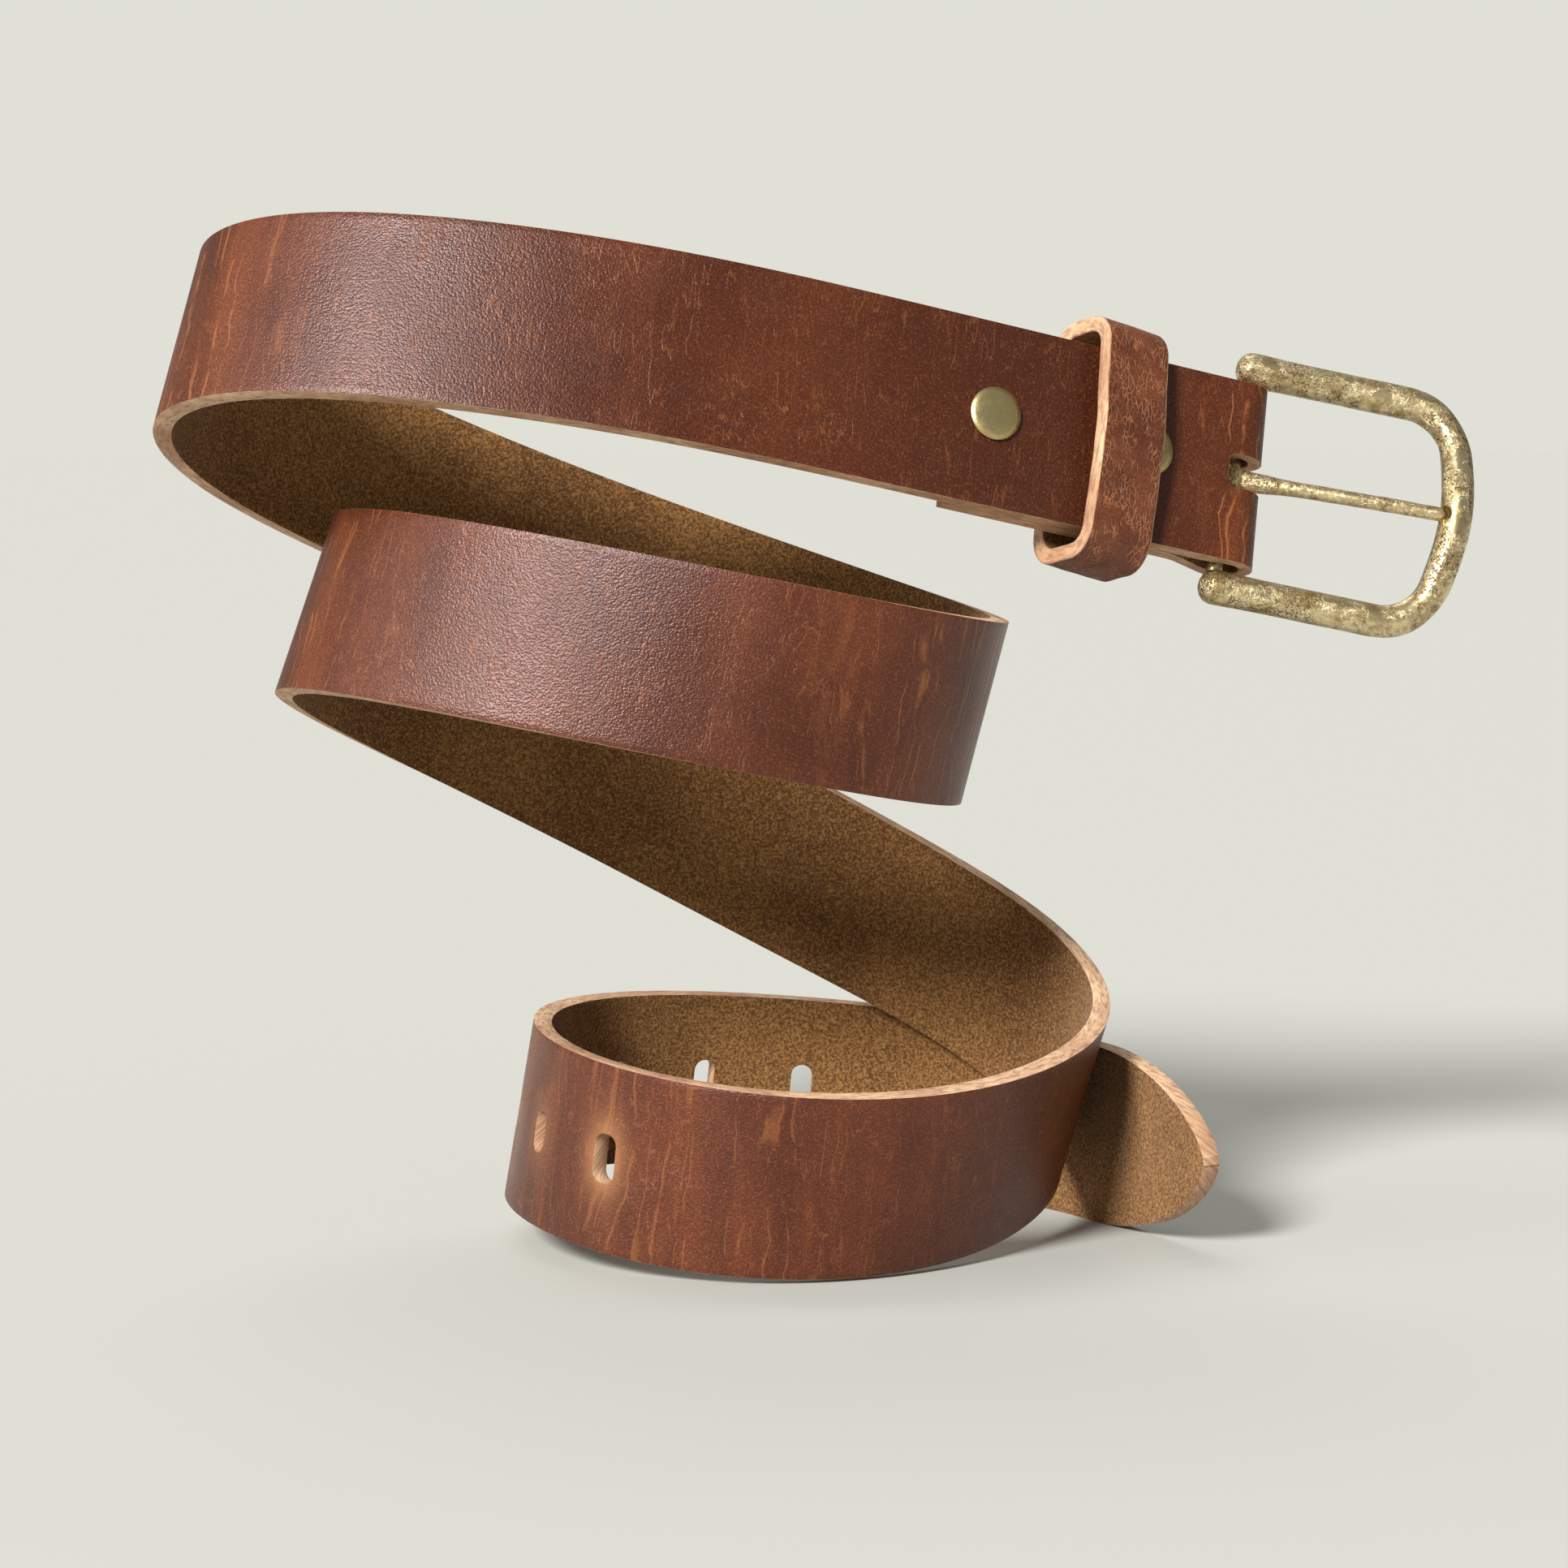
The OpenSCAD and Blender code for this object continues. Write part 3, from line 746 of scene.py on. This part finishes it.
finish_piece(
    keeper_form, "leather_keeper", keeper_materials, "keeper", ["keeper_loop"],
)


# ---- Buckle frame ----
# Sand-cast solid brass with an antique finish: two round side arms and an arched end bar,
# with a notch for the prong's tip; the arms' swollen ends take the heel bar.
FRAME_D = 6.2 * MM
FRAME_H = 43.6 * MM
FRAME_L = 40 * MM
CORNER_R = 9 * MM
END_BOW = 4 * MM
BOW_TURN = radians(40)
ARM_FRONT = 1 * MM
BUCKLE_LEAN = radians(5)
BUCKLE_REST = radians(17)
PRONG_RISE = radians(7)
PRONG_TIP_D = 2.6 * MM
PRONG_SHORT = 1.5 * MM
SEAT_GAP = 0.4 * MM
SEAT_OVER = 0.6 * MM
KNOB_AT = 1.5 * MM
KNOB_L = 4 * MM
KNOB_SWELL = 0.07
CAST_UNEVEN = 0.05 * MM
ROUND = 32
PATINA = (0.38, 0.28, 0.125, 1)
RUBBED_GOLD = (0.8, 0.66, 0.4, 1)
DARK_STAIN = (0.1, 0.062, 0.026, 1)

buckle_turn = Matrix.Rotation(BUCKLE_LEAN, 4, "Y") @ Matrix.Rotation(-BUCKLE_REST, 4, "Z")
buckle_place = end_place @ buckle_turn
corner_x = FRAME_L - CORNER_R
corner_z = FRAME_H / 2 - CORNER_R
prong_end = FRAME_L + END_BOW * sin(BOW_TURN) - PRONG_SHORT
end_on = Matrix.Rotation(pi / 2, 3, "Y")


def antique_brass(name, scale=1.0):
    """Mottled antique brass: a rubbed pale gold skin with fine dark specks and drawn streaks."""
    r = Recipe(name, 0.34)
    r.shader.inputs["Metallic"].default_value = 1
    mottle = r.span(r.cloud(300 * scale, 6, 0.72, distortion=0.6), 0.36, 0.6)
    tone = r.blend(mottle, PATINA, RUBBED_GOLD)
    stain = r.span(r.cloud(1300 * scale, 5, 0.72, distortion=1.4), 0.47, 0.58)
    stain_where = r.span(r.cloud(190 * scale, 3), 0.38, 0.56)
    stain = r.sum("MULTIPLY", stain, stain_where)
    tone = r.blend(r.sum("MULTIPLY", stain, 0.9), tone, DARK_STAIN)
    rough = r.sum("ADD", r.span(mottle, 0, 1, 0.42, 0.27), r.sum("MULTIPLY", stain, 0.2))
    pits = r.cloud(1300 * scale, 4, 0.7)
    normal = r.relief(r.sum("SUBTRACT", r.sum("MULTIPLY", pits, 0.4), stain), 0.00012, 0.6)
    return r.finish(tone, rough, normal)


def ring_parts(geometry):
    """The vertices and the edges of what an operator returns."""
    return of_kind(geometry, bmesh.types.BMVert), of_kind(geometry, bmesh.types.BMEdge)


def draw_out(form, edges, way, steps):
    """Draws a ring out along a straight way, in equal steps."""
    for _ in range(steps):
        verts, edges = ring_parts(bmesh.ops.extrude_edge_only(form, edges=edges)["geom"])
        bmesh.ops.translate(form, vec=way / steps, verts=verts)
    return edges


def turn_round(form, edges, centre, steps):
    """Bends a ring a quarter turn round a corner, about the Y axis."""
    geometry = list(edges) + list({v for e in edges for v in e.verts})
    turned_geometry = bmesh.ops.spin(
        form, geom=geometry, cent=centre, axis=(0, 1, 0), dvec=(0, 0, 0), angle=pi / 2,
        steps=steps, use_merge=False, use_duplicate=False,
    )["geom_last"]
    return ring_parts(turned_geometry)[1]


def cap_round(form, edges, centre, way, radius):
    """Closes a ring with a rounded end."""
    for angle in (25, 50, 72):
        verts, edges = ring_parts(bmesh.ops.extrude_edge_only(form, edges=edges)["geom"])
        t = radians(angle)
        for v in verts:
            spoke = v.co - centre
            spoke -= way * spoke.dot(way)
            v.co = centre + spoke.normalized() * radius * cos(t) + way * radius * 0.8 * sin(t)
    bmesh.ops.contextual_create(form, geom=edges)


frame_form = bmesh.new()
bmesh.ops.create_circle(frame_form, radius=FRAME_D / 2, segments=ROUND)
bmesh.ops.rotate(frame_form, verts=frame_form.verts, cent=(0, 0, 0), matrix=end_on)
bmesh.ops.translate(frame_form, verts=frame_form.verts, vec=(0, 0, FRAME_H / 2))
first_ring = list(frame_form.edges)
ring = draw_out(frame_form, first_ring, Vector((corner_x, 0, 0)), 30)
ring = turn_round(frame_form, ring, (corner_x, 0, corner_z), 18)
ring = draw_out(frame_form, ring, Vector((0, 0, -2 * corner_z)), 28)
ring = turn_round(frame_form, ring, (corner_x, 0, -corner_z), 18)
ring = draw_out(frame_form, ring, Vector((-corner_x, 0, 0)), 30)
for arm_ring, arm_z in ((first_ring, FRAME_H / 2), (ring, -FRAME_H / 2)):
    cap_round(frame_form, arm_ring, Vector((0, 0, arm_z)), Vector((-1, 0, 0)), FRAME_D / 2)
bmesh.ops.recalc_face_normals(frame_form, faces=frame_form.faces)
for v in frame_form.verts:
    reach = min(max((v.co.x - corner_x) / (0.7 * CORNER_R), 0), 1)
    share = max(1 - (2 * v.co.z / FRAME_H) ** 2, 0) ** 2 * reach * reach * (3 - 2 * reach)
    v.co.x += END_BOW * sin(BOW_TURN) * share
    v.co.y -= END_BOW * cos(BOW_TURN) * share + ARM_FRONT
    side = 1 if v.co.z > 0 else -1
    middle = Vector((max(v.co.x, 0), -ARM_FRONT, side * FRAME_H / 2))
    knob = exp(-((v.co.x - KNOB_AT) / KNOB_L) ** 2)
    if v.co.x < corner_x:
        v.co += (v.co - middle) * KNOB_SWELL * knob
    v.co += v.normal * CAST_UNEVEN * noise.noise(v.co * 170)
end_verts = [v for v in frame_form.verts if v.co.x > corner_x]
for _ in range(3):
    bmesh.ops.smooth_vert(
        frame_form, verts=end_verts, factor=0.5,
        use_axis_x=True, use_axis_y=True, use_axis_z=True,
    )
bmesh.ops.transform(frame_form, matrix=buckle_place, verts=frame_form.verts)
frame_brass = antique_brass("antique_brass")
frame_piece = finish_piece(
    frame_form, "brass_frame", [frame_brass], "buckle", ["buckle_frame"],
)


def hollow_out(piece, form):
    """Cuts a form's shape out of a piece."""
    mesh = bpy.data.meshes.new("cutter")
    form.to_mesh(mesh)
    form.free()
    cutter = bpy.data.objects.new("cutter", mesh)
    bpy.context.scene.collection.objects.link(cutter)
    cut = piece.modifiers.new("cut", "BOOLEAN")
    cut.operation = "DIFFERENCE"
    cut.solver = "EXACT"
    cut.object = cutter
    bpy.context.view_layer.update()
    graph = bpy.context.evaluated_depsgraph_get()
    piece.data = bpy.data.meshes.new_from_object(piece.evaluated_get(graph))
    piece.modifiers.clear()
    bpy.data.objects.remove(cutter)


seat_r = PRONG_TIP_D / 2 + SEAT_GAP
seat_end = prong_end + SEAT_OVER - seat_r
prong_place = buckle_place @ Matrix.Rotation(-PRONG_RISE, 4, "Z")
seat_place = prong_place @ Matrix.Translation((seat_end, 0, 0))
seat_form = bmesh.new()
bmesh.ops.create_uvsphere(seat_form, u_segments=24, v_segments=12, radius=seat_r)
front_half = [v for v in seat_form.verts if v.co.y < -0.01 * MM]
bmesh.ops.translate(seat_form, verts=front_half, vec=(0, -FRAME_D, 0))
inner_half = [v for v in seat_form.verts if v.co.x < -0.01 * MM]
bmesh.ops.translate(seat_form, verts=inner_half, vec=(-FRAME_D * 1.2, 0, 0))
bmesh.ops.transform(seat_form, matrix=seat_place, verts=seat_form.verts)
hollow_out(frame_piece, seat_form)


# ---- Heel bar ----
# A plain round brass pin, thinner than the arms and pressed into their swollen ends. The
# strap's fold and the prong's eye go round it, so that the buckle can swing.
HEEL_D = 3.2 * MM
HEEL_SOFT = 0.3 * MM

heel_form = bmesh.new()
bmesh.ops.create_cone(
    heel_form, cap_ends=True, radius1=HEEL_D / 2, radius2=HEEL_D / 2,
    depth=FRAME_H + FRAME_D / 2, segments=ROUND,
)
rims = [e for e in heel_form.edges if len(e.link_faces) == 2 and e.calc_face_angle() > 1]
bmesh.ops.bevel(
    heel_form, geom=rims, offset=HEEL_SOFT, segments=2, affect="EDGES", profile=0.5, material=-1,
)
bmesh.ops.transform(heel_form, matrix=buckle_place, verts=heel_form.verts)
brass_pin = antique_brass("pin_brass")
finish_piece(heel_form, "heel_pin", [brass_pin], "buckle", ["heel_bar"])


# ---- Prong ----
# A brass tongue, hammered flat and wide where its eye goes round the heel bar, then drawn to
# a round tip that drops into the end bar's notch.
EYE_R = HEEL_D / 2 + 0.06 * MM
EYE_WALL = 0.9 * MM
ROOT_H = 4 * MM
PRONG_SAG = 0.5 * MM
PRONG_SOFT = 0.3 * MM
PRONG_UNEVEN = 0.08 * MM
PRONG_RINGS = 40
FLAT_SHARE = 0.28


def prong_form():
    """The tongue from its flat root to its round tip, before its eye is added."""
    form = bmesh.new()
    bmesh.ops.create_circle(form, radius=0.5, segments=ROUND)
    bmesh.ops.rotate(form, verts=form.verts, cent=(0, 0, 0), matrix=end_on)
    root_x = EYE_R + PRONG_SOFT
    length = prong_end - PRONG_TIP_D / 2 - root_x
    edges = list(form.edges)
    root_ring = edges
    spread = [(v, v.co.copy(), 0.0) for v in form.verts]
    for i in range(1, PRONG_RINGS + 1):
        verts, edges = ring_parts(bmesh.ops.extrude_edge_only(form, edges=edges)["geom"])
        spread += [(v, v.co.copy(), i / PRONG_RINGS) for v in verts]
    for v, shape, share in spread:
        flat = max(1 - share / FLAT_SHARE, 0)
        flat = flat * flat * (3 - 2 * flat)
        wide = PRONG_TIP_D + (ROOT_H - PRONG_TIP_D) * (0.25 * (1 - share) + 0.75 * flat)
        deep = PRONG_TIP_D * (1 + 0.12 * (1 - share)) - PRONG_SOFT * flat
        square = 1 + 0.12 * flat * abs(sin(2 * atan2(shape.y, shape.z)))
        bend = -PRONG_SAG * sin(pi * share)
        x = root_x + length * share
        v.co = Vector((x, shape.y * deep * square + bend, shape.z * wide * square))
    tip_at = Vector((root_x + length, 0, 0))
    cap_round(form, edges, tip_at, Vector((1, 0, 0)), PRONG_TIP_D / 2)
    bmesh.ops.contextual_create(form, geom=root_ring)
    return form


def prong_eye(form):
    """The eye: a flat ring spun round the heel bar and rounded at its rims."""
    half = ROOT_H / 2
    outer_r = EYE_R + EYE_WALL
    corners = [(EYE_R, -half), (EYE_R, half), (outer_r, half), (outer_r, -half)]
    section = [form.verts.new((x, 0, z)) for x, z in corners]
    edges = [form.edges.new((section[i], section[(i + 1) % 4])) for i in range(4)]
    bmesh.ops.bevel(
        form, geom=section, offset=PRONG_SOFT, segments=3, affect="VERTICES", profile=0.5,
        material=-1,
    )
    eye_verts = [v for v in form.verts if not v.link_faces]
    eye_edges = [e for e in form.edges if not e.link_faces]
    bmesh.ops.spin(
        form, geom=eye_verts + eye_edges, cent=(0, 0, 0), axis=(0, 0, 1), dvec=(0, 0, 0),
        angle=2 * pi, steps=36, use_merge=True, use_duplicate=False,
    )


prong_shape = prong_form()
prong_eye(prong_shape)
bmesh.ops.remove_doubles(prong_shape, verts=prong_shape.verts, dist=0.005 * MM)
bmesh.ops.recalc_face_normals(prong_shape, faces=prong_shape.faces)
for v in prong_shape.verts:
    if v.co.x > EYE_R + EYE_WALL:
        v.co += v.normal * PRONG_UNEVEN * noise.noise(v.co * 300)
bmesh.ops.transform(prong_shape, matrix=prong_place, verts=prong_shape.verts)
prong_brass = antique_brass("prong_brass", 1.4)
finish_piece(prong_shape, "brass_prong", [prong_brass], "prong", ["prong"])


# ---- Screw posts and their screws ----
# Two-part brass posts: a smooth low-domed head on the front with a round rim and a tube
# through both layers, and a slotted screw driven into it from the back.
HEAD_D = 10 * MM
HEAD_T = 1.2 * MM
POST_D = 5 * MM
RIM_R = 0.35 * MM
RIM_FROM = 0.25 * MM
DOME_FROM = 0.6 * MM
DOME_IN = 0.45 * MM
HEAD_UNDERCUT = 0.4 * MM
POST_SHORT = 0.3 * MM
OLIVE_BRASS = (0.44, 0.35, 0.155, 1)
BLOOM_BRASS = (0.6, 0.49, 0.25, 1)
FLECK_BRASS = (0.18, 0.14, 0.065, 1)


def satin_brass():
    """Dull olive brass, turned smooth, with fine dark flecks and a paler, shinier bloom."""
    r = Recipe("satin_brass", 0.42)
    r.shader.inputs["Metallic"].default_value = 1
    bloom = r.span(r.cloud(260, 4), 0.35, 0.65)
    tone = r.blend(bloom, OLIVE_BRASS, BLOOM_BRASS)
    fleck = r.span(r.cloud(1800, 4, 0.7), 0.58, 0.7)
    tone = r.blend(r.sum("MULTIPLY", fleck, 0.35), tone, FLECK_BRASS)
    normal = r.relief(r.cloud(1500, 4), 0.0001, 0.5)
    return r.finish(tone, r.span(bloom, 0, 1, 0.5, 0.36), normal)


def lathe(profile):
    """Spins a half profile of (radius, height) points about the Z axis."""
    form = bmesh.new()
    points = [form.verts.new((radius, 0, height)) for radius, height in profile]
    edges = [form.edges.new(pair) for pair in zip(points, points[1:])]
    bmesh.ops.spin(
        form, geom=points + edges, cent=(0, 0, 0), axis=(0, 0, 1), dvec=(0, 0, 0),
        angle=2 * pi, steps=64, use_merge=True, use_duplicate=False,
    )
    bmesh.ops.remove_doubles(form, verts=form.verts, dist=0.002 * MM)
    bmesh.ops.recalc_face_normals(form, faces=form.faces)
    return form


def post_profile():
    """Half the outline of a post: its tube's foot, the head's underside, rim and dome."""
    foot = -(back_face - front_face) + POST_SHORT
    outline = [(0, foot), (POST_D / 2, foot), (POST_D / 2, 0), (HEAD_D / 2 - HEAD_UNDERCUT, 0)]
    for t in (0, pi / 6, pi / 3, pi / 2):
        outline.append((HEAD_D / 2 - RIM_R * (1 - sin(t)), RIM_R * (1 - cos(t)) + RIM_FROM))
    for t in (pi / 2 * i / 10 for i in range(11)):
        height = DOME_FROM + (HEAD_T - DOME_FROM) * sin(t)
        outline.append(((HEAD_D / 2 - DOME_IN) * cos(t), height))
    return outline


post_brass = satin_brass()
for name, x in (("near", NEAR_POST_X), ("far", FAR_POST_X)):
    post_form = lathe(post_profile())
    stand = end_place @ Matrix.Translation((-x, front_face, 0)) @ Matrix.Rotation(pi / 2, 4, "X")
    bmesh.ops.transform(post_form, matrix=stand, verts=post_form.verts)
    post_name = name + "_post"
    finish_piece(
        post_form, post_name + "_head", [post_brass], "strap", [post_name],
    )
for node in ("near_screw", "far_screw", "keeper_staple"):
    part = bpy.data.objects[node]
    part.data.materials.clear()
    part.data.materials.append(post_brass)
